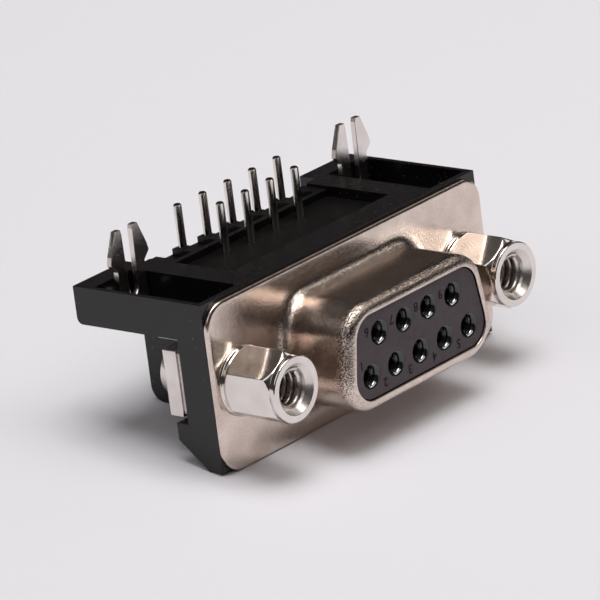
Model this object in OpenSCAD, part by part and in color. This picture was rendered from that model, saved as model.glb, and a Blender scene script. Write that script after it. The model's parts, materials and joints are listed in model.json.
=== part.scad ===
// Right-angle nine-way socket connector for a circuit board.
// X runs along the flange, Y runs from the mating side to the back, and Z points at the board.
// The origin is the centre of the shell in the flange's front plane.

/* [Shell] */
// Width of the D nose over its widest row
shell_w = 16.33; // [15.8:0.01:17]
// Height of the D nose
shell_h = 7.9; // [7.6:0.01:8.3]
// Corner radius of the D nose
shell_r = 2.6; // [2.3:0.1:2.9]
// Slope of the D's two sides, in degrees
side_slope = 10; // [6:1:12]
// How far the nose stands in front of the flange
shell_reach = 5.99; // [5.6:0.01:6.4]
// Thickness of the drawn steel sheet
sheet = 0.4; // [0.3:0.05:0.45]
// Radius of the rolled front lip
lip_r = 0.75; // [0.6:0.05:0.9]
// Radius of the flare from the nose into the flange
flare_r = 0.85; // [0.6:0.05:1]
// Distance from a jackscrew's axis to the end of the flange
flange_end = 2.91; // [2.6:0.01:3.2]
// Height of the flange
flange_h = 12.55; // [12.2:0.01:12.9]
// Corner radius of the flange
flange_corner = 1.9; // [1.2:0.1:2.4]

/* [Jackscrews] */
// Distance from the nose's widest side to a jackscrew's axis
screw_side = 4.33; // [4.1:0.01:4.6]
// Hexagon across flats
hex_af = 4.76; // [4.5:0.01:5]
// How far a jackscrew stands in front of the flange
screw_reach = 4.93; // [4.6:0.01:5.2]
// Radius of the tapped hole's wall
tap_r = 1.15; // [1.05:0.01:1.25]
// Depth of the tapped hole below its countersink
tap_depth = 3.7; // [3:0.1:3.8]
// Radius of the threaded stud behind the flange
stud_r = 1.38; // [1.3:0.01:1.42]

/* [Contacts] */
// Distance between neighbouring contacts in a row
contact_pitch = 2.77; // [2.7:0.01:2.84]
// Distance between the two rows of contacts
row_gap = 2.84; // [2.7:0.01:2.9]
// Outside radius of a socket barrel
socket_r = 0.76; // [0.7:0.01:0.78]
// Radius of the hole in a socket barrel
socket_bore_r = 0.5; // [0.46:0.01:0.54]
// Radius of a solder tail
tail_r = 0.31; // [0.25:0.01:0.34]
// Bend radius of a solder tail, on its centre line
tail_bend = 1; // [0.7:0.1:1.2]
// Flange front to the first row of tails
tail_row = 7.7; // [7.5:0.01:8]
// Distance between the two rows of tails
tail_gap = 2.84; // [2.7:0.01:2.9]

/* [Housing] */
// Height of the board seat above the shell's centre
seat_z = 6.45; // [6.35:0.01:6.7]
// Distance from the flange front to the back of the arms
body_back = 12.36; // [12.1:0.01:12.8]
// Height of an arm
arm_h = 2.85; // [2.5:0.05:3]
// Distance from a jackscrew's axis to the inner side of the arm
arm_side = 2.69; // [2.5:0.01:2.8]
// Thickness of the bracket's front plate
plate_t = 2.6; // [2.4:0.05:2.7]
// Thickness of an arm's outer wall
arm_wall = 0.4; // [0.35:0.05:0.6]
// How far the tail box stands out past each side of the nose
box_side = 0.695; // [0.6:0.005:0.75]
// Depth of the tail box below the shell's centre
box_low = 4.55; // [4.45:0.01:4.7]
// Wall thickness of the tail box
box_wall = 0.85; // [0.7:0.05:0.9]
// How far the comb's floor lies below the board seat
floor_drop = 0.75; // [0.6:0.05:0.9]

/* [Board locks] */
// Thickness of the ground strap
strap_t = 0.45; // [0.35:0.01:0.48]
// Width of the ground strap behind the flange
strap_w = 4.1; // [3.8:0.1:4.3]
// Distance from the flange front to the board lock
lock_y = 9.4; // [9:0.05:9.6]
// How far the board lock stands above the board seat
lock_reach = 3.8; // [3.4:0.1:4]
// Width over the board lock's barbs
lock_w = 4.06; // [3.8:0.02:4.2]
// How far the solder tails stand above the board seat
tail_reach = 3.1; // [2.6:0.1:3.6]

/* [Hidden] */
$fn = 48;

// Clearances between pieces
slip = 0.08;
hole_slip = 0.1;
screw_slip = 0.17;
thread_slip = 0.04;
cut = 0.1;
hair = 0.001;

// D outline: the four corner centres, from the lower left, and the direction each edge faces
d_low = shell_h / 2 - shell_r;
d_wide = shell_w / 2 - shell_r;
d_narrow = d_wide - 2 * d_low * tan(side_slope);
d_corners = [[-d_wide, -d_low], [d_wide, -d_low], [d_narrow, d_low], [-d_narrow, d_low]];
d_facing = [-90, side_slope, 90, 180 - side_slope];

// Shell details; the nose's skin is let into the flange between weld_out and weld_in
screw_x = shell_w / 2 + screw_side;
flange_w = 2 * (screw_x + flange_end);
lip_turn = 0.1;
weld_out = 0.05;
weld_in = 0.35;
bend_steps = 6;
corner_steps = 10;

// Insulator base and rear block; places along the mating axis count forwards from the flange's front face
base_over = 1.25;
base_t = 1.2;
base_w = 2 * (screw_x - stud_r - screw_slip - base_over);
base_h = shell_h + 2 * base_over;
base_back = sheet + base_t;
rear_back = 6.4;
face_step = 0.15;
face_f = shell_reach - face_step;
face_inset = lip_r + lip_turn + slip;
cavity_r = socket_r + slip;
funnel_wall = 0.12;
funnel_r = cavity_r + funnel_wall;
funnel_h = 0.5;
socket_sink = 0.75;
socket_front = face_f - socket_sink;
socket_root = 0.4;
slot_w = 0.22;
slot_len = 3.4;
tail_point = 0.1;
tail_point_r = tail_r - 0.08;

// Jackscrew details
collar_r = 2.55;
collar_t = 0.25;
hex_turn = 0.5;
hex_corner_r = hex_af / sqrt(3);
ring_r = hex_af / 2 + 0.02;
ring_len = 0.45;
ring_edge = 0.15;
sink_r = 1.78;
sink_h = sink_r - tap_r;
drill_point = 0.6;
drill_point_r = 0.01;
screw_hole_r = stud_r + screw_slip;

// Bracket details
flange_over = 0.2;
plate_back = sheet + plate_t;
plate_heel = 1.4;
bracket_x = flange_w / 2;
plate_low = flange_h / 2 - flange_over;
arm_low = seat_z - arm_h;
arm_in = screw_x - arm_side;
arm_rib = 1.1;
arm_floor = 1;
arm_corner = 0.5;
comb_back = 10.85;
pocket_skin = 0.5;
pocket_room = 1.2;
pocket_in = arm_in + arm_rib;
pocket_out = bracket_x - arm_wall;
pocket_front = sheet + pocket_skin;
pocket_back = lock_y + pocket_room;
pocket_floor = arm_low + arm_floor;
foot_out = 1.1;
foot_y = plate_back + foot_out;
foot_top = -2.73;
foot_low = -4;
box_x = shell_w / 2 + box_side;
box_corner = 1.2;
box_lap = 0.3;
box_step = 0.11;
box_in_back = body_back - box_wall;
box_in_x = box_x - box_wall;
block_x = box_in_x - slip;
shoulder_in = box_x - box_step;
floor_z = seat_z - floor_drop;
spacer_t = 0.8;
ledge_z = floor_z - spacer_t;
tooth_drop = 0.2;
tooth_z = seat_z - tooth_drop;
tooth_w = 1.06;
tooth_front = 9.3;
tooth_over = 0.6;
tooth_back = tail_row + tail_gap + tooth_over;
bar_front = 8.8;

// Ground strap and board lock details
leg_low = -2.65;
tab_back = 5.6;
neck_w = 1.7;
stem_w = 2.9;
prong_gap = 1.1;
prong_set = 0.1;
prong_tip = 0.55;
prong_lead = 0.08;
prong_bevel = 0.3;
prong_root = seat_z - 0.8;
barb_h = 0.6;
barb_set = 0.15;
barb_z = seat_z + 1.5;
lock_tip = seat_z + lock_reach;
tail_tip = seat_z + tail_reach;

// Clinch nut details
nut_front = plate_back + strap_t;
nut_step = 0.7;
nut_inset = 0.2;
nut_t = 1.25;
nut_back = nut_front + nut_step + nut_t;
nut_low = -2.65;
nut_high = 2.3;
barrel_r = 1.8;
barrel_len = 0.75;
barrel_back = nut_back + barrel_len;

// Turns a shape drawn in plan, with its height pointing forwards, to the mating axis
module facing_front() {
  rotate([90, 0, 0]) children();
}

// Prism between two distances in front of the flange's front face
module prism(from_f, to_f) {
  facing_front() translate([0, 0, from_f]) linear_extrude(to_f - from_f) children();
}

// Round bar along the mating axis
module rod(x, z, r, from_f, to_f) {
  facing_front() translate([x, z, from_f]) cylinder(r = r, h = to_f - from_f);
}

// Cone along the mating axis, from its back radius to its front radius
module cone(x, z, r_back, r_front, from_f, to_f) {
  facing_front() translate([x, z, from_f]) cylinder(r1 = r_back, r2 = r_front, h = to_f - from_f);
}

// Box from its low corner to its high corner
module block(low, high) {
  translate(low) cube(high - low);
}

// Unit vector in the outline's plane
function heading(angle) = [cos(angle), sin(angle)];

// D outline, grown by a distance or shrunk by a negative one; its sides lie a hair inside the arcs' tangents
module d_shape(grow) {
  r = shell_r + grow;
  for (corner = d_corners) translate(corner) circle(r = r);
  polygon([for (i = [0:3]) each [
    d_corners[i] + (r - hair) * heading(d_facing[(i + 3) % 4]),
    d_corners[i] + (r - hair) * heading(d_facing[i])
  ]]);
}

// Rectangle with round corners, about its centre
module round_rect(w, h, r) {
  square([w - 2 * r, h], center = true);
  square([w, h - 2 * r], center = true);
  for (x = [-1, 1], z = [-1, 1]) translate([x * (w / 2 - r), z * (h / 2 - r)]) circle(r = r);
}

// Quarter of a bent sheet: ring between two radii in one quadrant
module bend(inner, outer, sx, sy) {
  intersection() {
    difference() {
      circle(r = outer);
      circle(r = inner);
    }
    translate([sx < 0 ? -outer : 0, sy < 0 ? -outer : 0]) square(outer);
  }
}

// Arc in the section's plane, in short steps from one angle to another
function arc(centre, r, from_a, to_a) =
  [for (k = [0:bend_steps]) centre + r * heading(from_a + (to_a - from_a) * k / bend_steps)];

// Section of the drawn nose, as growth of the D outline and distance forwards; it starts inside the flange
shell_section = concat(
  [[flare_r - weld_out, -sheet / 2]],
  arc([flare_r, flare_r], flare_r, 270 - asin(weld_out / flare_r), 180),
  arc([-lip_r, shell_reach - lip_r], lip_r, 0, 90),
  [[-lip_r - lip_turn, shell_reach], [-lip_r - lip_turn, shell_reach - sheet]],
  arc([-lip_r, shell_reach - lip_r], lip_r - sheet, 90, 0),
  arc([flare_r, flare_r], flare_r + sheet, 180, 270 - asin(weld_in / (flare_r + sheet)))
);

// D outline at one point of the section, as a ring of points
function d_ring(at) = [for (i = [0:3], k = [0:corner_steps])
  let (start = d_facing[(i + 3) % 4], turn = (d_facing[i] - start + 360) % 360)
  let (p = d_corners[i] + (shell_r + at[0]) * heading(start + turn * k / corner_steps))
  [p[0], -at[1], p[1]]];

// Drawn D nose: one skin through the rings, closed both ways
module nose() {
  rings = len(shell_section);
  ring = 4 * (corner_steps + 1);
  polyhedron(
    points = [for (at = shell_section) each d_ring(at)],
    faces = [for (m = [0:rings - 1], k = [0:ring - 1])
      let (n = (m + 1) % rings, j = (k + 1) % ring)
      each [[m * ring + k, n * ring + j, m * ring + j], [m * ring + k, n * ring + k, n * ring + j]]]
  );
}

// Steel front shell: nose and flange drawn from one sheet
module front_shell() color("silver") {
  nose();
  prism(-sheet, 0) difference() {
    round_rect(flange_w, flange_h, flange_corner);
    d_shape(flare_r - (weld_in + weld_out) / 2);
    for (side = [-1, 1]) translate([side * screw_x, 0]) circle(r = screw_hole_r);
  }
}

// Places of the nine contacts across the face, in the order of their numbers
function contact_x(n) = n < 6 ? (n - 3) * contact_pitch : (n - 7.5) * contact_pitch;
function contact_z(n) = n < 6 ? -row_gap / 2 : row_gap / 2;
function tail_y(n) = n < 6 ? tail_row + tail_gap : tail_row;

// Front insulator: the D face with nine funnelled cavities, on a base behind the flange
module insulator_front() color("dimgray") difference() {
  union() {
    prism(shell_reach - lip_r - 2 * slip, face_f) d_shape(-face_inset);
    prism(-sheet, shell_reach - lip_r - slip) d_shape(-sheet - slip);
    prism(-base_back, -sheet) square([base_w, base_h], center = true);
  }
  for (n = [1:9]) {
    rod(contact_x(n), contact_z(n), cavity_r, -base_back - cut, face_f);
    cone(contact_x(n), contact_z(n), cavity_r, funnel_r, face_f - funnel_h, face_f);
    rod(contact_x(n), contact_z(n), funnel_r, face_f, face_f + cut);
  }
}

// Rear insulator: the block that the contacts are pressed into
module insulator_rear() color("dimgray") difference() {
  block([-block_x, base_back, -box_low + box_wall + slip], [block_x, rear_back, ledge_z - slip]);
  for (n = [1:9]) rod(contact_x(n), contact_z(n), tail_r, -rear_back - cut, -base_back + cut);
}

// Outline of the bracket's front plate and foot, seen from its end: Y and Z
module leg_outline() {
  polygon([
    [sheet, -plate_low], [sheet, seat_z], [plate_back, seat_z], [plate_back, foot_top],
    [foot_y, foot_top], [foot_y, foot_low], [plate_back - plate_heel, -plate_low]
  ]);
}

// Outline of an arm seen from its end, with its lower back corner rounded off
module arm_outline() {
  r = arm_corner;
  translate([sheet, arm_low]) square([body_back - sheet - r, arm_h]);
  translate([sheet, arm_low + r]) square([body_back - sheet, arm_h - r]);
  translate([body_back - r, arm_low + r]) circle(r = r);
}

// Outline of the tail box seen from its end, with its lower back corner rounded off
module box_outline(inset) {
  r = box_corner - inset;
  back = body_back - inset;
  low = -box_low + inset;
  high = ledge_z + box_lap;
  translate([plate_back - cut, low]) square([back - plate_back + cut - r, high - low]);
  translate([plate_back - cut, low + r]) square([back - plate_back + cut, high - low - r]);
  translate([back - r, low + r]) circle(r = r);
}

// Runs an outline drawn in Y and Z from one X to another
module along_x(from_x, to_x) {
  translate([from_x, 0, 0]) rotate([90, 0, 90]) linear_extrude(to_x - from_x) children();
}

// Moulded bracket: front plate, feet, two cored arms and the box over the tails
module bracket() color([0.11, 0.11, 0.12]) difference() {
  union() {
    along_x(-bracket_x, bracket_x) leg_outline();
    along_x(-bracket_x, -arm_in) arm_outline();
    along_x(arm_in, bracket_x) arm_outline();
    for (side = [-1, 1]) shoulder(side);
    along_x(-box_x, box_x) box_outline(0);
  }
  block([-base_w / 2 - slip, 0, -base_h / 2 - slip], [base_w / 2 + slip, base_back, base_h / 2 + slip]);
  block([-box_in_x, 0, -box_low + box_wall], [box_in_x, plate_back, ledge_z]);
  along_x(-box_in_x, box_in_x) box_outline(box_wall);
  block([-shoulder_in, plate_back, ledge_z], [shoulder_in, box_in_back, seat_z + cut]);
  for (side = [-1, 1]) {
    pocket(side);
    rod(side * screw_x, 0, screw_hole_r, -plate_back - cut, 0);
  }
}

// Solid shoulder between the tail box and an arm
module shoulder(side) {
  x = side < 0 ? [-pocket_in, -shoulder_in] : [shoulder_in, pocket_in];
  block([x[0], sheet, arm_low], [x[1], comb_back, seat_z]);
}

// Cored pocket in an arm, and the slot in its floor for the board lock
module pocket(side) {
  x = side < 0 ? [-pocket_out, -pocket_in] : [pocket_in, pocket_out];
  block([x[0], pocket_front, pocket_floor], [x[1], pocket_back, seat_z + cut]);
  slot = stem_w / 2 + hole_slip;
  block([side * screw_x - slot, lock_y - strap_t / 2 - hole_slip, arm_low - cut],
    [side * screw_x + slot, lock_y + strap_t / 2 + hole_slip, pocket_floor + cut]);
}

// Tail spacer: the plate that closes the box, with the comb that sets the tails
module tail_spacer() color([0.08, 0.08, 0.09]) {
  edge = shoulder_in - slip;
  difference() {
    union() {
      block([-edge, plate_back + slip, ledge_z], [edge, box_in_back - slip, floor_z]);
      block([-edge, bar_front, floor_z], [edge, tooth_front, tooth_z]);
      for (n = [1:5]) tooth(contact_x(n) - tooth_w / 2, contact_x(n) + tooth_w / 2);
      tooth(-edge, -3 * contact_pitch + tooth_w / 2);
      tooth(3 * contact_pitch - tooth_w / 2, edge);
    }
    for (n = [1:9]) translate([contact_x(n), tail_y(n), ledge_z - cut])
      cylinder(r = tail_r + slip / 2, h = tooth_z - ledge_z + 2 * cut);
  }
}

// One tooth of the comb, from one X to another
module tooth(from_x, to_x) {
  block([from_x, tooth_front, floor_z], [to_x, tooth_back, tooth_z]);
}

// Socket contact: slit barrel in front, rod through the rear block, tail bent up to the board
module contact(n) color("gainsboro") translate([contact_x(n), 0, contact_z(n)]) {
  bend_y = tail_y(n) - tail_bend;
  difference() {
    rod(0, 0, socket_r, -base_back, socket_front);
    rod(0, 0, socket_bore_r, socket_root, socket_front + cut);
    block([-slot_w / 2, -socket_front - cut, -socket_r - cut],
      [slot_w / 2, slot_len - socket_front, socket_r + cut]);
  }
  rod(0, 0, tail_r, -bend_y, -base_back);
  translate([0, bend_y, tail_bend]) rotate([0, 90, 0]) rotate_extrude(angle = 90)
    translate([tail_bend, 0]) circle(r = tail_r);
  rise = tail_tip - contact_z(n) - tail_bend;
  translate([0, tail_y(n), tail_bend]) {
    cylinder(r = tail_r, h = rise - tail_point);
    translate([0, 0, rise - tail_point]) cylinder(r1 = tail_r, r2 = tail_point_r, h = tail_point);
  }
}

// Female jackscrew: collar, hexagon turned at both ends, front ring, tapped hole, and the stud behind
module jackscrew(side) color("gainsboro") {
  x = side * screw_x;
  tap_f = screw_reach - sink_h - tap_depth;
  hex_f = screw_reach - ring_len;
  difference() {
    union() {
      rod(x, 0, collar_r, 0, collar_t);
      hexagon(x, collar_t, hex_f);
      rod(x, 0, ring_r, hex_f - cut, screw_reach - ring_edge);
      cone(x, 0, ring_r, ring_r - ring_edge, screw_reach - ring_edge, screw_reach);
      rod(x, 0, stud_r, -barrel_back, 0);
    }
    rod(x, 0, tap_r, tap_f, screw_reach + cut);
    cone(x, 0, tap_r, sink_r, screw_reach - sink_h, screw_reach);
    cone(x, 0, drill_point_r, tap_r, tap_f - drill_point, tap_f);
  }
}

// Hexagon between two distances forwards, its corners turned off at both ends
module hexagon(x, from_f, to_f) {
  full_r = hex_corner_r + cut;
  intersection() {
    facing_front() translate([x, 0, from_f])
      rotate(30) cylinder(r = hex_corner_r, h = to_f - from_f, $fn = 6);
    union() {
      cone(x, 0, ring_r, full_r, from_f, from_f + hex_turn);
      rod(x, 0, full_r, from_f + hex_turn, to_f - hex_turn);
      cone(x, 0, full_r, ring_r, to_f - hex_turn, to_f);
    }
  }
}

// One half of the board lock's outline: stem, barb and prong, about the lock's own centre
module lock_half() {
  slit = prong_gap / 2;
  polygon([
    [-hair, arm_low - strap_t], [stem_w / 2, arm_low - strap_t], [stem_w / 2, barb_z - barb_h],
    [lock_w / 2, barb_z], [lock_w / 2 - barb_set, barb_z + barb_h],
    [slit + prong_lead + prong_tip, lock_tip],
    [slit + prong_lead, lock_tip], [slit, lock_tip - prong_bevel], [slit - prong_set, prong_root],
    [-hair, prong_root]
  ]);
}

// Outline of the board lock: two barbed prongs that part above a round root
module lock_outline() {
  difference() {
    for (side = [0, 1]) mirror([side, 0]) lock_half();
    translate([0, prong_root]) circle(r = prong_gap / 2 - prong_set);
  }
}

// Ground strap: leg behind the front plate, tab under the arm, and the board lock through it
module ground_strap(side) color("gainsboro") translate([side * screw_x, 0, 0]) {
  tab_low = arm_low - strap_t;
  difference() {
    block([-strap_w / 2, plate_back, leg_low], [strap_w / 2, nut_front, arm_low - 2 * strap_t]);
    rod(0, 0, screw_hole_r, -nut_front - cut, -plate_back + cut);
  }
  translate([0, nut_front + strap_t, arm_low - 2 * strap_t]) rotate([90, 0, 90])
    translate([0, 0, -strap_w / 2]) linear_extrude(strap_w) bend(strap_t, 2 * strap_t, -1, 1);
  block([-strap_w / 2, nut_front + strap_t, tab_low], [strap_w / 2, tab_back, arm_low]);
  block([-neck_w / 2, tab_back, tab_low], [neck_w / 2, lock_y - strap_t / 2, arm_low]);
  translate([0, lock_y + strap_t / 2, 0]) rotate([90, 0, 0]) linear_extrude(strap_t) lock_outline();
}

// Clinch nut: a rectangular plate with a step in front and a riveted barrel behind
module clinch_nut(side) color("silver") translate([side * screw_x, 0, 0]) difference() {
  union() {
    block([-strap_w / 2 + nut_inset, nut_front, nut_low + nut_inset],
      [strap_w / 2 - nut_inset, nut_front + nut_step, nut_high - nut_inset]);
    block([-strap_w / 2, nut_front + nut_step, nut_low], [strap_w / 2, nut_back, nut_high]);
    rod(0, 0, barrel_r, -barrel_back, -nut_back);
  }
  rod(0, 0, stud_r + thread_slip, -barrel_back - cut, -nut_front + cut);
}

front_shell();
insulator_front();
insulator_rear();
bracket();
tail_spacer();
contact(1);  // contact_1
contact(2);  // contact_2
contact(3);  // contact_3
contact(4);  // contact_4
contact(5);  // contact_5
contact(6);  // contact_6
contact(7);  // contact_7
contact(8);  // contact_8
contact(9);  // contact_9
jackscrew(-1);  // jackscrew_left
jackscrew(1);  // jackscrew_right
ground_strap(-1);  // ground_strap_left
ground_strap(1);  // ground_strap_right
clinch_nut(-1);  // clinch_nut_left
clinch_nut(1);  // clinch_nut_right
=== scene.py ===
import json
import math

import bmesh
import bpy
from mathutils import Matrix, Vector


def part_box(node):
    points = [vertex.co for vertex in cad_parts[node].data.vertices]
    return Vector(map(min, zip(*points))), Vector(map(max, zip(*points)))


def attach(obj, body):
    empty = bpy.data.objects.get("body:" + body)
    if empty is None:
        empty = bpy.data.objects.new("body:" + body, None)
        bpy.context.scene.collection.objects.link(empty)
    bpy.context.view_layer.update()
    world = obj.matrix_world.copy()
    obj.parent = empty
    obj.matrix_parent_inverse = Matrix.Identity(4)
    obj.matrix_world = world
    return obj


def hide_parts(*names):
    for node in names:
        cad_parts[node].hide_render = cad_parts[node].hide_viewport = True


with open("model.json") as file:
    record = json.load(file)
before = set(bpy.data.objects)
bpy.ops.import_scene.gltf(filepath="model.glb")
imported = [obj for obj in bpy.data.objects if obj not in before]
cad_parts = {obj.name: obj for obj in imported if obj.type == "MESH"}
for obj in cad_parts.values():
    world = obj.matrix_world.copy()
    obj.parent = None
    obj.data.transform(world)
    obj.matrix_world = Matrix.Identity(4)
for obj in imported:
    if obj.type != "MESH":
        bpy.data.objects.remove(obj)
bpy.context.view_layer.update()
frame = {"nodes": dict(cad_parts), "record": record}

NODES = frame["nodes"]
MM = 0.001  # named lengths are in millimetres, and angles in degrees
SIDES = ("left", "right")

ROW_Z = 1.42
ROWS = {"long": (1, 5, -ROW_Z), "short": (6, 9, ROW_Z)}  # first contact, last contact, height


# ---------------------------------------------------------------- places taken from the frame

def low(node):
    """Lowest corner of a CAD node, in millimetres."""
    return Vector(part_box(node)[0]) / MM


def high(node):
    """Highest corner of a CAD node, in millimetres."""
    return Vector(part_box(node)[1]) / MM


def centre(node):
    """Middle of a CAD node, in millimetres."""
    return (low(node) + high(node)) / 2


def screw_x(side):
    """Where a jackscrew's axis stands along the flange, in millimetres."""
    mount = next(m for m in frame["record"]["mounts"] if m["name"] == f"screw_{side}")
    return (Vector(mount["pos_m"]) / MM).x


def nose_half_size():
    """Half the width and half the height of the shell's nose, taken where it is straight."""
    straight_from_y = -2
    points = [v.co / MM for v in NODES["front_shell"].data.vertices]
    nose = [p for p in points if p.y < straight_from_y]
    return max(p.x for p in nose), max(p.z for p in nose)


def resting_plane():
    """Point on the flange's lower back edge, and the tilt at which the tail box meets the same plane."""
    tail_box_from_y = 8
    edge = Vector((0, high("front_shell").y, low("front_shell").z)) * MM
    vertices = NODES["bracket"].data.vertices
    behind = [v.co - edge for v in vertices if v.co.y > tail_box_from_y * MM]
    return edge, min(math.atan2(v.z, v.y) for v in behind)


REST_EDGE, REST_TILT = resting_plane()
UP = Vector((0, -math.sin(REST_TILT), math.cos(REST_TILT)))


# ---------------------------------------------------------------- node trees

class Tree:
    """A node tree built link by link."""

    def __init__(self, tree):
        self.nodes = tree.nodes
        self.links = tree.links

    def add(self, kind, inputs=None, **settings):
        """New node with its settings; each input takes a value or is linked from a socket."""
        made = self.nodes.new(kind)
        for key, value in settings.items():
            setattr(made, key, value)
        for key, value in (inputs or {}).items():
            self.put(made.inputs[key], value)
        return made

    def put(self, socket, value):
        """Gives a socket a value, or a link from another socket."""
        if isinstance(value, bpy.types.NodeSocket):
            self.links.new(value, socket)
        else:
            socket.default_value = value

    def ramp(self, value, stops):
        """Colour ramp through (position, colour) stops."""
        made = self.add("ShaderNodeValToRGB", {"Fac": value})
        elements = made.color_ramp.elements
        while len(elements) < len(stops):
            elements.new(0.5)
        for element, (position, colour) in zip(elements, stops):
            element.position = position
            element.color = (*colour, 1)
        return made.outputs["Color"]

    def mix(self, factor, first, second, blend="MIX"):
        """Two colours mixed by a factor."""
        colours = {"Factor": factor, "A": first, "B": second}
        made = self.add("ShaderNodeMix", colours, data_type="RGBA", blend_type=blend)
        return made.outputs["Result"]

    def calculate(self, first, operation, second):
        """Sum, difference, product or quotient of two numbers."""
        return self.add("ShaderNodeMath", {0: first, 1: second}, operation=operation).outputs["Value"]


class Shader(Tree):
    """A node material with one Principled surface, patterned on the piece's own coordinates."""

    def __init__(self, name):
        self.mat = bpy.data.materials.new(name)
        self.mat.use_nodes = True
        super().__init__(self.mat.node_tree)
        self.surface = self.nodes["Principled BSDF"]
        self.place = self.add("ShaderNodeTexCoord").outputs["Object"]

    def surface_is(self, **values):
        """Sets the surface's inputs, named with underscores for spaces."""
        for label, value in values.items():
            self.put(self.surface.inputs[label.replace("_", " ")], value)

    def noise(self, size_mm, detail=3.0, rough=0.5):
        """Noise whose features are about size_mm across."""
        return self.add("ShaderNodeTexNoise", {
            "Vector": self.place, "Scale": 1 / (size_mm * MM), "Detail": detail,
            "Roughness": rough}).outputs["Fac"]

    def between(self, value, from_low, from_high, to_low, to_high):
        """A number carried from one range into another, and held inside it."""
        return self.add("ShaderNodeMapRange", {
            "Value": value, "From Min": from_low, "From Max": from_high,
            "To Min": to_low, "To Max": to_high}).outputs["Result"]

    def past(self, axis, start_mm, full_mm):
        """0 before a place along the piece's X, Y or Z, and 1 past a second place."""
        along = self.add("ShaderNodeSeparateXYZ", {"Vector": self.place}).outputs[axis]
        return self.between(along, start_mm * MM, full_mm * MM, 0, 1)

    def cloudy(self, colour, share, size_mm):
        """Colour that goes down to a share of itself in clouds."""
        darker = tuple(c * share for c in colour)
        return self.ramp(self.noise(size_mm), [(0.3, darker), (0.7, colour)])

    def uneven(self, noise, value, least, most):
        """A value that wanders between two shares of itself."""
        return self.between(noise, 0.3, 0.7, value * least, value * most)

    def bump(self, layers):
        """Stacks bumps: each layer is (height socket, depth in mm)."""
        normal = None
        for height, depth_mm in layers:
            made = self.add("ShaderNodeBump", {
                "Height": height, "Strength": 1.0, "Distance": depth_mm * MM})
            if normal is not None:
                self.put(made.inputs["Normal"], normal)
            normal = made.outputs["Normal"]
        self.surface_is(Normal=normal)


class GrowTree(Tree):
    """A Geometry Nodes tree with named inputs, one of them the Finish, that makes plain meshes."""

    def __init__(self, name, inputs):
        self.group = bpy.data.node_groups.new(name, "GeometryNodeTree")
        super().__init__(self.group)
        sockets = self.group.interface
        self.identifiers = {
            label: sockets.new_socket(label, in_out="INPUT", socket_type=kind).identifier
            for label, kind in inputs.items()}
        sockets.new_socket("Geometry", in_out="OUTPUT", socket_type="NodeSocketGeometry")
        self.given = self.add("NodeGroupInput").outputs

    def end(self, geometry):
        """Makes what is repeated real, gives it the finish and hands it out."""
        real = self.add("GeometryNodeRealizeInstances", {"Geometry": geometry})
        finished = self.add("GeometryNodeSetMaterial", {
            "Geometry": real.outputs["Geometry"], "Material": self.given["Finish"]})
        self.add("NodeGroupOutput", {"Geometry": finished.outputs["Geometry"]})

    def grow(self, name, values):
        """Runs the tree once with these inputs and returns its plain mesh."""
        carrier = put_in_scene(name, bpy.data.meshes.new(name))
        maker = carrier.modifiers.new(name, "NODES")
        maker.node_group = self.group
        for label, value in values.items():
            maker[self.identifiers[label]] = value
        done = plain_mesh(carrier)
        carrier.modifiers.clear()
        bpy.data.objects.remove(carrier)
        turn_outwards(done)
        return done


# ---------------------------------------------------------------- finishes

CUT_END = (0.05, 0.035, 0.028, 1)
DUST = (0.30, 0.24, 0.20, 1)
# Near black of the cavity insides: the polish is real, the darkness is painted shade.
POLISHED_AND_SHADED_BLACK = (0.012, 0.012, 0.013, 1)
SAND_MM = 0.12


def metal(name, dark, light, rough, sand_mm, sand_depth, wave_depth=0.004, stretched_and_shaded=0.0, cut_z_mm=None):
    """Plated metal: cloudy colour, uneven polish, a sandy skin, and the slow waves of drawn sheet.
    A depth for drawn-out sheet adds deeper sand, and grains that darken the colour, partly real sand and
    partly painted shade, in full where the piece's attribute for drawn-out sheet and painted shade is 1.
    Above cut_z_mm the plating is cut away."""
    s = Shader(name)
    colour = s.ramp(s.noise(1.8, detail=4), [(0.35, dark), (0.65, light)])
    layers = [(s.noise(2.5, detail=1), wave_depth), (s.noise(sand_mm, detail=2), sand_depth)]
    if cut_z_mm is not None:
        colour = s.mix(s.past("Z", cut_z_mm - 0.12, cut_z_mm - 0.04), colour, CUT_END)
    if stretched_and_shaded:
        # This attribute also carries painted shade: the dark grains below darken the colour, partly as real
        # sand and partly as painted shade.
        stretch_and_shade = s.add("ShaderNodeAttribute", attribute_name="stretch_and_shade").outputs["Fac"]
        grains_and_painted_shade = s.ramp(s.noise(SAND_MM, detail=1), [(0.39, (0.15, 0.13, 0.115)), (0.62, (1, 1, 1))])
        colour = s.mix(s.between(stretch_and_shade, 0, 1, 0.15, 1.0), colour, grains_and_painted_shade, blend="MULTIPLY")
        deeper = s.noise(SAND_MM, detail=2, rough=0.6)
        layers.append((s.calculate(deeper, "MULTIPLY", stretch_and_shade), stretched_and_shaded))
    roughness = s.uneven(s.noise(0.35, detail=5, rough=0.6), rough, 0.8, 1.25)
    s.surface_is(Base_Color=colour, Metallic=1.0, Roughness=roughness)
    s.bump(layers)
    return s.mat


def plastic(name, colour, rough, grain_mm, grain_depth, specular, dust=0.0):
    """Moulded plastic: faint flow clouding, a fine spark-eroded grain and a few specks of dust."""
    s = Shader(name)
    clouded = s.cloudy(colour, 0.8, 3.0)
    if dust:
        specks_from = 1 - dust
        speck = s.between(s.noise(0.11, detail=0), specks_from, specks_from + 0.03, 0, 1)
        clouded = s.mix(speck, clouded, DUST)
    roughness = s.uneven(s.noise(0.4, detail=4), rough, 0.9, 1.15)
    s.surface_is(Base_Color=clouded, Roughness=roughness, Specular_IOR_Level=specular)
    s.bump([(s.noise(grain_mm), grain_depth)])
    return s.mat


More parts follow.
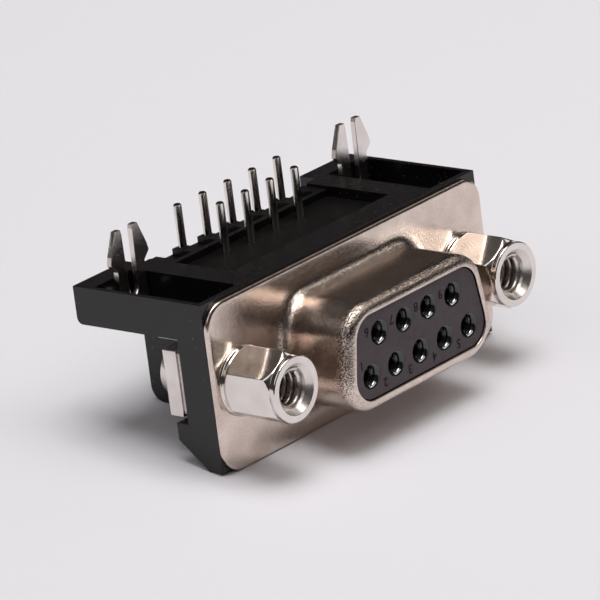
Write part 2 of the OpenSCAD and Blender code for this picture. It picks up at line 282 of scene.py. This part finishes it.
def face_plastic(name, colour, rough, face_y_mm):
    """The socket face: matt outside, and polished by the core pins inside the nine funnels, where the colour
    is painted near black as shade.
    """
    s = Shader(name)
    inside = s.past("Y", face_y_mm + 0.03, face_y_mm + 0.05)
    matt = s.uneven(s.noise(0.4, detail=4), rough, 0.9, 1.15)
    polish = s.calculate(inside, "MULTIPLY", rough)
    # Inside the funnels the colour turns to a near-black painted shade.
    s.surface_is(Base_Color=s.mix(inside, s.cloudy(colour, 0.85, 2.5), POLISHED_AND_SHADED_BLACK),
                 Roughness=s.calculate(matt, "SUBTRACT", polish))
    s.bump([(s.noise(0.07), 0.0012)])
    return s.mat


NICKEL = metal("nickel_plate", (0.70, 0.59, 0.52), (0.83, 0.71, 0.635), rough=0.2,
               sand_mm=SAND_MM, sand_depth=0.008, stretched_and_shaded=0.05)
SCREW = metal("screw_nickel", (0.74, 0.68, 0.64), (0.82, 0.77, 0.73), rough=0.1,
              sand_mm=0.3, sand_depth=0.0004, wave_depth=0.001)
BORE = metal("cut_bore", (0.66, 0.60, 0.56), (0.78, 0.73, 0.69), rough=0.3,
             sand_mm=0.2, sand_depth=0.003, wave_depth=0.001)
STRAP = metal("strap_tin", (0.72, 0.66, 0.63), (0.83, 0.78, 0.75), rough=0.22,
              sand_mm=0.2, sand_depth=0.001)
TAIL = metal("tail_tin", (0.72, 0.67, 0.63), (0.84, 0.80, 0.77), rough=0.15,
             sand_mm=0.2, sand_depth=0.0006, cut_z_mm=high("contact_1").z)
LIP = metal("contact_plate", (0.84, 0.85, 0.87), (0.92, 0.93, 0.95), rough=0.13,
            sand_mm=0.2, sand_depth=0.0006, wave_depth=0.0)
# Funnel plastic painted near black as shade inside the cavities; the face around them is the same plastic,
# much lighter.
SHADED_FUNNEL = plastic("funnel_moulding_painted_shade", (0.012, 0.012, 0.014), rough=0.1,
                 grain_mm=0.3, grain_depth=0.0004, specular=0.9)
HOUSING = plastic("black_moulding", (0.0062, 0.0052, 0.0059), rough=0.22,
                  grain_mm=0.06, grain_depth=0.0012, specular=0.45, dust=0.155)
COMB = plastic("comb_moulding", (0.005, 0.0044, 0.0044), rough=0.3,
               grain_mm=0.08, grain_depth=0.001, specular=0.3)
FACE = face_plastic("face_moulding", (0.078, 0.058, 0.066), rough=0.62,
                    face_y_mm=low("insulator_front").y)
INK = plastic("number_moulding", (0.014, 0.010, 0.012), rough=0.6,
              grain_mm=0.08, grain_depth=0.001, specular=0.2)


def finish_cad_nodes():
    """Gives every CAD node its finish."""
    finishes = {"front_shell": NICKEL, "insulator_front": FACE, "insulator_rear": COMB,
                "bracket": HOUSING, "tail_spacer": COMB}
    for first, last, _ in ROWS.values():
        finishes.update({f"contact_{n}": TAIL for n in range(first, last + 1)})
    for side in SIDES:
        finishes.update({f"jackscrew_{side}": SCREW, f"ground_strap_{side}": STRAP,
                         f"clinch_nut_{side}": STRAP})
    for node, finish in finishes.items():
        NODES[node].data.materials.clear()
        NODES[node].data.materials.append(finish)


# ---------------------------------------------------------------- mesh building blocks

def put_in_scene(name, data):
    """New object in the scene, at the origin."""
    made = bpy.data.objects.new(name, data)
    bpy.context.scene.collection.objects.link(made)
    return made


def plain_mesh(made):
    """Mesh of an object with its modifiers worked in."""
    return bpy.data.meshes.new_from_object(made.evaluated_get(bpy.context.evaluated_depsgraph_get()))


def piece(name, mesh, finish, replaces=None):
    """Finished piece that rides on the connector, and may stand for a CAD node."""
    mesh.materials.clear()
    mesh.materials.append(finish)
    made = put_in_scene(name, mesh)
    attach(made, "root")
    if replaces:
        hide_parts(replaces)
    return made


def turn_outwards(mesh):
    """Makes the faces agree and point outwards, and shades them smooth."""
    work = bmesh.new()
    work.from_mesh(mesh)
    bmesh.ops.recalc_face_normals(work, faces=work.faces)
    work.to_mesh(mesh)
    work.free()
    mesh.shade_smooth()


def skin(name, rings, closed_loop=False):
    """Smooth mesh through closed rings of points, given in millimetres."""
    points = [Vector(p) * MM for ring in rings for p in ring]
    across = len(rings[0])
    faces = []
    for m in range(len(rings) if closed_loop else len(rings) - 1):
        n = (m + 1) % len(rings)
        for k in range(across):
            j = (k + 1) % across
            faces.append((m * across + k, m * across + j, n * across + j, n * across + k))
    mesh = bpy.data.meshes.new(name)
    mesh.from_pydata(points, [], faces)
    turn_outwards(mesh)
    return mesh


def arc(centre, radius, from_deg, to_deg, steps):
    """Points of an arc in a section, each (outwards, forwards)."""
    angles = [math.radians(from_deg + (to_deg - from_deg) * k / steps) for k in range(steps + 1)]
    return [(centre[0] + radius * math.cos(a), centre[1] + radius * math.sin(a)) for a in angles]


def eased(node, finish, ease_mm):
    """Stands for a CAD node as a copy of it with its sharp edges eased by a small round."""
    same_point_mm = 0.0005
    same_plane = math.radians(0.5)
    sharp = math.radians(35)
    mesh = NODES[node].data.copy()
    work = bmesh.new()
    work.from_mesh(mesh)
    bmesh.ops.remove_doubles(work, verts=work.verts, dist=same_point_mm * MM)
    bmesh.ops.dissolve_limit(work, angle_limit=same_plane, verts=work.verts, edges=work.edges)
    work.to_mesh(mesh)
    work.free()
    carrier = put_in_scene(f"eased_{node}", mesh)
    rounding = carrier.modifiers.new("edge round", "BEVEL")
    rounding.width = ease_mm * MM
    rounding.segments = 2
    rounding.limit_method = "ANGLE"
    rounding.angle_limit = sharp
    rounding.harden_normals = True
    done = plain_mesh(carrier)
    bpy.data.objects.remove(carrier)
    piece(f"eased_{node}", done, finish, replaces=node)


# ---------------------------------------------------------------- drawn steel shell

SHEET = 0.4
NOSE_HALF_W, NOSE_HALF_H = nose_half_size()
NOSE_CORNER_R = 2.6
NOSE_SLOPE = 10
LIP_R = 0.75
LIP_TURNED_IN = 0.1
FLARE_R = 0.85
FLANGE_CORNER_R = 1.9
EDGE_W = 0.28  # width of the round along the flange's front edge
EDGE_D = 0.16  # its depth
BURR_R = 0.06  # round of a sheared edge
SUPPORT = 0.2  # from a bend to the points that keep the sheet beside it flat
CORNER_STEPS = 14
LIP_STEPS = 8

SAND_AND_SHADE_FROM_Z = -4.3  # height below which the sand and its painted shade are at their least, so the lower shell is painted lighter
SAND_AND_SHADE_RISE = 3.2  # from there to where both are in full
SAND_AND_SHADE_LEAST = 0.2


def corner_ring(corners, facing, radius, forward):
    """Outline through round corners, with a support point on each side of a corner to keep the flats flat."""
    ring = []
    for i, corner in enumerate(corners):
        start = facing[i - 1]
        turn = (facing[i] - start) % 360
        for k in range(-1, CORNER_STEPS + 2):
            angle = math.radians(start + turn * min(max(k, 0), CORNER_STEPS) / CORNER_STEPS)
            out = Vector((math.cos(angle), math.sin(angle)))
            slide = SUPPORT * (-1 if k < 0 else 1 if k > CORNER_STEPS else 0)
            at = Vector(corner) + out * radius + Vector((-out.y, out.x)) * slide
            ring.append((at.x, -forward, at.y))
    return ring


def nose_ring(grow, forward):
    """D outline of the nose, grown by a distance, at a distance in front of the flange."""
    up = NOSE_HALF_H - NOSE_CORNER_R
    wide = NOSE_HALF_W - NOSE_CORNER_R
    narrow = wide - 2 * up * math.tan(math.radians(NOSE_SLOPE))
    corners = [(-wide, -up), (wide, -up), (narrow, up), (-narrow, up)]
    return corner_ring(corners, [-90, NOSE_SLOPE, 90, 180 - NOSE_SLOPE], NOSE_CORNER_R + grow, forward)


def flange_ring(inset, forward):
    """Outline of the flange, shrunk by a distance."""
    far = high("front_shell")
    x = far.x - FLANGE_CORNER_R
    z = far.z - FLANGE_CORNER_R
    corners = [(-x, -z), (x, -z), (x, z), (-x, z)]
    return corner_ring(corners, [-90, 0, 90, 180], FLANGE_CORNER_R - inset, forward)


def drawn_shell():
    """Flange and nose drawn from one sheet, with a rolled lip; sandy where the sheet was drawn out, with
    painted shade there that fades towards the bottom.
    """
    reach = -low("front_shell").y
    lip_at = (-LIP_R, reach - LIP_R)
    rings = []
    stretch_and_shade = []

    # Each ring's value sands the sheet and darkens its colour as painted shade; below a height it is cut
    # down, so the lower shell is painted lighter.
    def lay(ring, stretched_and_shaded=0.0):
        rings.append(ring)
        for _, _, z in ring:
            stretch_and_shade.append(stretched_and_shaded * min(max((z - SAND_AND_SHADE_FROM_Z) / SAND_AND_SHADE_RISE, SAND_AND_SHADE_LEAST), 1))

    for out, forward in arc((BURR_R, BURR_R - SHEET), BURR_R, -90, -180, 3):
        lay(flange_ring(out, forward))
    for out, forward in arc((1, -1), 1, 180, 90, 6):
        lay(flange_ring(out * EDGE_W, forward * EDGE_D))
    lay(flange_ring(EDGE_W + SUPPORT, 0))
    lay(nose_ring(FLARE_R + SUPPORT, 0), 0.1)
    for out, forward in arc((FLARE_R, FLARE_R), FLARE_R, -90, -180, 8):
        lay(nose_ring(out, forward), 0.4)
    lay(nose_ring(0, FLARE_R + SUPPORT), 0.2)
    lay(nose_ring(0, (FLARE_R + reach - LIP_R) / 2), 0.06)
    lay(nose_ring(0, reach - LIP_R - 3 * SUPPORT), 0.15)
    lay(nose_ring(0, reach - LIP_R - SUPPORT), 0.7)
    for k, (out, forward) in enumerate(arc(lip_at, LIP_R, 0, 90, LIP_STEPS)):
        lay(nose_ring(out, forward), 1.0 - 0.85 * (k / LIP_STEPS) ** 2)
    for out, forward in arc((-LIP_R - LIP_TURNED_IN + BURR_R, reach - BURR_R), BURR_R, 90, 180, 3):
        lay(nose_ring(out, forward), 0.1)
    lay(nose_ring(-LIP_R - LIP_TURNED_IN, reach - SHEET))
    for out, forward in arc(lip_at, LIP_R - SHEET, 90, 0, 5):
        lay(nose_ring(out, forward))
    for out, forward in arc((FLARE_R, FLARE_R), FLARE_R + SHEET, 180, 270, 5):
        lay(nose_ring(out, forward))
    mesh = skin("drawn_shell", rings, closed_loop=True)
    mesh.attributes.new("stretch_and_shade", "FLOAT", "POINT").data.foreach_set("value", stretch_and_shade)
    piece("drawn_shell", mesh, NICKEL, replaces="front_shell")


# ---------------------------------------------------------------- jackscrews

AXIS_R = 0.02
STUD_R = 1.38
STUD_CHAMFER = 0.15
STUD_NECK = 0.6
COLLAR_R = 2.55
COLLAR_T = 0.25
COLLAR_BACK_EDGE = 0.04
COLLAR_FRONT_EDGE = 0.05
GROOVE_W = 0.07
HEX_AF = 4.76
HEX_TURNED = 0.5
HEX_STEPS = 34
HEX_BLEND = 0.12
RING_R = HEX_AF / 2 + 0.02
RING_LONG = 0.45
RING_EDGE_R = 0.1
GROOVE_R = RING_R - 0.22
SINK_R = 1.84
SINK_DEEP = 0.42
SINK_EDGE_R = 0.05
THREAD_R = 1.45
THREAD_PITCH = 0.635
THREAD_RIDGE = 0.3
THREAD_FROM = 0.7
THREAD_LONG = 3.7
BORE_BACK = 0.65  # where the drilled bore narrows to its tip
BORE_TIP = 0.1
BORE_FINISH_FROM = 0.6  # in front of this the inside has the finish of a cut bore


def hexagon_at(angle_deg):
    """Radius of the hexagon in a direction; a flat faces 0 degrees."""
    off = (angle_deg + 30) % 60 - 30
    return HEX_AF / 2 / math.cos(math.radians(off))


def softly_less(a, b, blend):
    """The lesser of two lengths, with a soft change between them."""
    gap = max(blend - abs(a - b), 0) / blend
    return min(a, b) - gap * gap * blend / 4


def screw_angles():
    """Directions round the screw, closer together near the hexagon's corners."""
    half = [0, 8, 15, 20, 24, 26.5, 28.2, 29.3]
    sector = [-a for a in reversed(half[1:])] + half + [30]
    return [60 * i + a for i in range(6) for a in sector]


def jackscrew_rear(back):
    """Section of the stud, the collar and the groove in front of it, each point (radius, forwards)."""
    return [
        (AXIS_R, back), (STUD_R - STUD_CHAMFER, back), (STUD_R, back + STUD_CHAMFER),
        (STUD_R, -STUD_NECK), (STUD_R, -0.02),
        (COLLAR_R - COLLAR_BACK_EDGE, 0), (COLLAR_R, COLLAR_BACK_EDGE),
        (COLLAR_R, COLLAR_T - COLLAR_FRONT_EDGE), (COLLAR_R - COLLAR_FRONT_EDGE, COLLAR_T),
        (GROOVE_R, COLLAR_T), (GROOVE_R, COLLAR_T + GROOVE_W)]


def jackscrew_front(reach):
    """Section of the ring in front of the hexagon, the countersink and the bore."""
    return [
        (RING_R, reach - RING_LONG + 0.02), (RING_R, reach - RING_EDGE_R - 0.02),
        *arc((RING_R - RING_EDGE_R, reach - RING_EDGE_R), RING_EDGE_R, 0, 90, 4),
        *arc((SINK_R + SINK_EDGE_R, reach - SINK_EDGE_R), SINK_EDGE_R, 90, 135, 2),
        (THREAD_R + 0.05, reach - SINK_DEEP), (THREAD_R, reach - SINK_DEEP - 0.04),
        (THREAD_R, BORE_BACK), (AXIS_R, BORE_TIP)]


def jackscrew_skin(name, x, reach, back):
    """Turned skin of a jackscrew: stud, collar, groove, hexagon turned at both ends, ring and bore."""
    angles = screw_angles()

    def ring(forward, radii):
        around = [(r, math.radians(a)) for r, a in zip(radii, angles)]
        return [(x + r * math.cos(a), -forward, r * math.sin(a)) for r, a in around]

    def hexagon():
        start = COLLAR_T + GROOVE_W + 0.01
        end = reach - RING_LONG
        widest = HEX_AF / math.sqrt(3) + 0.1
        for k in range(HEX_STEPS + 1):
            forward = start + (end - start) * (0.5 - 0.5 * math.cos(math.pi * k / HEX_STEPS))
            from_end = min(forward - COLLAR_T - GROOVE_W, end - forward)
            limit = RING_R + (widest - RING_R) * min(from_end / HEX_TURNED, 1)
            yield ring(forward, [softly_less(hexagon_at(a), limit, HEX_BLEND) for a in angles])

    rings = [ring(forward, [r] * len(angles)) for r, forward in jackscrew_rear(back)]
    rings += hexagon()
    rings += [ring(forward, [r] * len(angles)) for r, forward in jackscrew_front(reach)]
    return skin(name, rings)


def thread_tree():
    """Helical thread: a ridge swept along a spiral, set on the screw's axis."""
    t = GrowTree("screw thread", {
        "Radius": "NodeSocketFloat", "Pitch": "NodeSocketFloat", "Length": "NodeSocketFloat",
        "Ridge": "NodeSocketFloat", "Start": "NodeSocketVector", "Finish": "NodeSocketMaterial"})
    given = t.given
    spiral = t.add("GeometryNodeCurveSpiral", {
        "Resolution": 40, "Rotations": t.calculate(given["Length"], "DIVIDE", given["Pitch"]),
        "Start Radius": given["Radius"], "End Radius": given["Radius"], "Height": given["Length"]})
    upright = t.add("GeometryNodeSetCurveNormal", {"Curve": spiral.outputs["Curve"]}, mode="Z_UP")
    ridge = t.add("GeometryNodeCurvePrimitiveCircle", {"Resolution": 4, "Radius": given["Ridge"]})
    swept = t.add("GeometryNodeCurveToMesh", {
        "Curve": upright.outputs["Curve"], "Profile Curve": ridge.outputs["Curve"], "Fill Caps": True})
    placed = t.add("GeometryNodeTransform", {
        "Geometry": swept.outputs["Mesh"], "Rotation": (math.radians(90), 0, 0),
        "Translation": given["Start"]})
    t.end(placed.outputs["Geometry"])
    return t


def jackscrews():
    """Both jackscrews, each a turned body with a thread in its bore."""
    thread = thread_tree()
    for side in SIDES:
        node = f"jackscrew_{side}"
        x = screw_x(side)
        mesh = jackscrew_skin(f"turned_{node}", x, reach=-low(node).y, back=-high(node).y)
        body = piece(f"turned_{node}", mesh, SCREW, replaces=node)
        body.data.materials.append(BORE)
        for face in body.data.polygons:
            from_axis = math.hypot(face.center.x - x * MM, face.center.z)
            in_bore = from_axis < SINK_R * MM and face.center.y < -BORE_FINISH_FROM * MM
            face.material_index = int(in_bore)
        ridge = thread.grow(f"thread_{side}", {
            "Radius": THREAD_R * MM, "Pitch": THREAD_PITCH * MM, "Length": THREAD_LONG * MM,
            "Ridge": THREAD_RIDGE * MM, "Start": Vector((x, -THREAD_FROM, 0)) * MM, "Finish": BORE})
        piece(f"thread_{side}", ridge, BORE)


# ---------------------------------------------------------------- cavities and contacts

MOUTH_R = 0.935
CONE_R = 0.72
THROAT_R = 0.70
FUNNEL_BACK_R = 0.83
CONE_DEEP = 0.34
FUNNEL_DEEP = 0.74
FUNNEL_SUNK = 0.004  # behind the face, so that the two surfaces don't meet
FUNNEL_FACETS = 48
LIP_FROM_DEG = -101
LIP_TO_DEG = -49
LIP_FACETS = 16


def row_tree():
    """One piece repeated along a row."""
    t = GrowTree("row of pieces", {
        "Piece": "NodeSocketObject", "Count": "NodeSocketInt", "Start": "NodeSocketVector",
        "Step": "NodeSocketVector", "Finish": "NodeSocketMaterial"})
    one = t.add("GeometryNodeObjectInfo", {"Object": t.given["Piece"]})
    row = t.add("GeometryNodeMeshLine", {
        "Count": t.given["Count"], "Start Location": t.given["Start"], "Offset": t.given["Step"]},
        mode="OFFSET")
    placed = t.add("GeometryNodeInstanceOnPoints", {
        "Points": row.outputs["Mesh"], "Instance": one.outputs["Geometry"]})
    t.end(placed.outputs["Instances"])
    return t


def in_rows(name, mesh, finish):
    """Repeats a small piece at the nine cavities, in two rows, as one mesh a row."""
    one = put_in_scene(f"one_{name}", mesh)
    tree = row_tree()
    y = low("insulator_front").y + FUNNEL_SUNK
    for label, (first, last, z) in ROWS.items():
        x = centre(f"contact_{first}").x
        step = (centre(f"contact_{last}").x - x) / (last - first)
        row = tree.grow(f"{name}_{label}", {
            "Piece": one, "Count": last - first + 1, "Start": Vector((x, y, z)) * MM,
            "Step": Vector((step, 0, 0)) * MM, "Finish": finish})
        piece(f"{name}_{label}", row, finish)
    bpy.data.objects.remove(one)


def cavity_funnels():
    """Polished cone and throat of each of the nine cavities, in a near-black painted shade."""
    profile = [(MOUTH_R + 0.01, 0.012), (MOUTH_R, 0), (CONE_R, CONE_DEEP), (THROAT_R, CONE_DEEP + 0.06),
               (THROAT_R, FUNNEL_DEEP), (FUNNEL_BACK_R, FUNNEL_DEEP)]
    angles = [math.tau * k / FUNNEL_FACETS for k in range(FUNNEL_FACETS)]
    rings = [[(r * math.cos(a), deep, r * math.sin(a)) for a in angles] for r, deep in profile]
    in_rows("cavity_funnels", skin("one_funnel", rings, closed_loop=True), SHADED_FUNNEL)


def contact_lips():
    """Flared lower lip of each socket contact, seen inside its funnel."""
    section = [(0.80, 0.11), (0.81, 0.13), (0.62, 0.34), (0.60, 0.33)]
    turn = (LIP_TO_DEG - LIP_FROM_DEG) / LIP_FACETS
    angles = [math.radians(LIP_FROM_DEG + turn * k) for k in range(LIP_FACETS + 1)]
    rings = [[(r * math.cos(a), deep, r * math.sin(a)) for r, deep in section] for a in angles]
    mesh = skin("one_lip", rings)
    work = bmesh.new()
    work.from_mesh(mesh)
    bmesh.ops.holes_fill(work, edges=[e for e in work.edges if e.is_boundary], sides=len(section))
    work.to_mesh(mesh)
    work.free()
    in_rows("contact_lips", mesh, LIP)


# ---------------------------------------------------------------- contact numbers

NUMBER_HIGH = 0.95
NUMBER_RAISED = 0.008
NUMBER_BOLDER = 0.014
NUMBER_PROUD = 0.006  # from the face to the middle of a number's thickness
NUMBER_BESIDE = {"long": (-1.37, -0.86), "short": (-1.37, 0.5)}
FIRST_NUMBER_BESIDE = (-0.93, 1.14)


def number_mesh(n):
    """A number in the plain typeface, as a mesh round the origin."""
    curve = bpy.data.curves.new(f"number_{n}", "FONT")
    curve.body = str(n)
    curve.size = NUMBER_HIGH * MM
    curve.align_x = "CENTER"
    curve.align_y = "CENTER"
    curve.extrude = NUMBER_RAISED * MM
    curve.offset = NUMBER_BOLDER * MM
    text = put_in_scene(f"number_{n}", curve)
    mesh = plain_mesh(text)
    bpy.data.objects.remove(text)
    return mesh


def numerals():
    """Moulded contact numbers beside the nine cavities, upside down as the connector lies."""
    upside_down = Matrix.Rotation(math.pi, 4, "Y") @ Matrix.Rotation(math.pi / 2, 4, "X")
    y = low("insulator_front").y - NUMBER_PROUD
    for label, (first, last, row_z) in ROWS.items():
        for n in range(first, last + 1):
            across, up = FIRST_NUMBER_BESIDE if n == 1 else NUMBER_BESIDE[label]
            place = Vector((centre(f"contact_{n}").x + across, y, row_z + up)) * MM
            mesh = number_mesh(n)
            mesh.transform(Matrix.Translation(place) @ upside_down)
            piece(f"number_{n}", mesh, INK)


# ---------------------------------------------------------------- floor, lights, camera

def floor():
    """Pale floor in the plane that the connector rests on."""
    s = Shader("pale_floor")
    s.surface_is(Base_Color=(0.795, 0.785, 0.825, 1), Roughness=0.8, Specular_IOR_Level=0.2)
    reach = 1.5
    back = Vector((0, math.cos(REST_TILT), math.sin(REST_TILT))) * reach
    right = Vector((1, 0, 0)) * reach
    corners = [REST_EDGE + right * a + back * b for a, b in ((-1, -1), (1, -1), (1, 1), (-1, 1))]
    mesh = bpy.data.meshes.new("floor")
    mesh.from_pydata(corners, [], [(0, 1, 2, 3)])
    mesh.materials.append(s.mat)
    put_in_scene("floor", mesh)


def far_softbox(name, toward, strength, spread_deg, tint=(1, 1, 1)):
    """Large softbox far off: the light comes from the direction toward, spread over an angle."""
    data = bpy.data.lights.new(name, "SUN")
    data.energy = strength
    data.angle = math.radians(spread_deg)
    data.color = tint
    made = put_in_scene(name, data)
    made.rotation_euler = Vector(toward).to_track_quat("Z", "Y").to_euler()


def near_softbox(name, place_mm, size_mm, strength, aim_mm, tint=(1, 1, 1)):
    """Rectangular softbox close to the connector; strength is its brightness against white."""
    data = bpy.data.lights.new(name, "AREA")
    data.shape = "RECTANGLE"
    data.size = size_mm[0] * MM
    data.size_y = size_mm[1] * MM
    data.energy = strength * math.pi * data.size * data.size_y
    data.color = tint
    made = put_in_scene(name, data)
    made.location = Vector(place_mm) * MM
    made.rotation_euler = (made.location - Vector(aim_mm) * MM).to_track_quat("Z", "Y").to_euler()


def room(stops, backdrop):
    """Room whose stops go from the floor's level (0) to overhead (1); the camera sees the pale backdrop."""
    made = bpy.data.worlds.new("room")
    made.use_nodes = True
    t = Tree(made.node_tree)
    way = t.add("ShaderNodeTexCoord").outputs["Generated"]
    height = t.add("ShaderNodeVectorMath", {0: way, 1: UP}, operation="DOT_PRODUCT").outputs["Value"]
    seen = t.add("ShaderNodeLightPath").outputs["Is Camera Ray"]
    t.put(t.nodes["Background"].inputs["Color"], t.mix(seen, t.ramp(height, stops), (*backdrop, 1)))
    bpy.context.scene.world = made


def camera(place_mm, aim_mm, lens):
    """Long lens, held level with the floor that it looks down on."""
    data = bpy.data.cameras.new("camera")
    data.sensor_width = 36
    data.lens = lens
    data.clip_start = 0.02
    data.clip_end = 5
    made = put_in_scene("camera", data)
    made.location = Vector(place_mm) * MM
    back = (made.location - Vector(aim_mm) * MM).normalized()
    right = UP.cross(back).normalized()
    made.rotation_mode = "QUATERNION"
    made.rotation_quaternion = Matrix((right, back.cross(right), back)).transposed().to_quaternion()
    bpy.context.scene.camera = made


# ---------------------------------------------------------------- the connector on its floor

finish_cad_nodes()
drawn_shell()
jackscrews()
cavity_funnels()
contact_lips()
numerals()
eased("bracket", HOUSING, ease_mm=0.07)
eased("tail_spacer", COMB, ease_mm=0.05)
for side in SIDES:
    eased(f"ground_strap_{side}", STRAP, ease_mm=0.05)
for side in SIDES:
    eased(f"clinch_nut_{side}", STRAP, ease_mm=0.06)

floor()
far_softbox("overhead_box", toward=(0.02, -0.13, 0.985), strength=2.02, spread_deg=38,
            tint=(1.0, 0.99, 0.985))
far_softbox("left_fill", toward=(-0.64, 0.12, 0.76), strength=0.5, spread_deg=50)
far_softbox("right_strip", toward=(0.80, -0.20, 0.56), strength=0.07, spread_deg=18,
            tint=(1.0, 0.98, 0.96))
near_softbox("front_right_box", place_mm=(95, -170, 250), size_mm=(128, 190), strength=2.6,
             aim_mm=(5, 0, 2), tint=(1.0, 0.97, 0.93))
room([(0.0, (0.05, 0.045, 0.043)), (0.5, (0.035, 0.032, 0.03)), (0.8, (0.12, 0.11, 0.10))],
     backdrop=(0.76, 0.745, 0.77))
camera(place_mm=(-291.2, -258.6, 134.1), aim_mm=(-2.0, 3.19, 1.96), lens=346.1)
bpy.context.scene.view_settings.view_transform = "Standard"
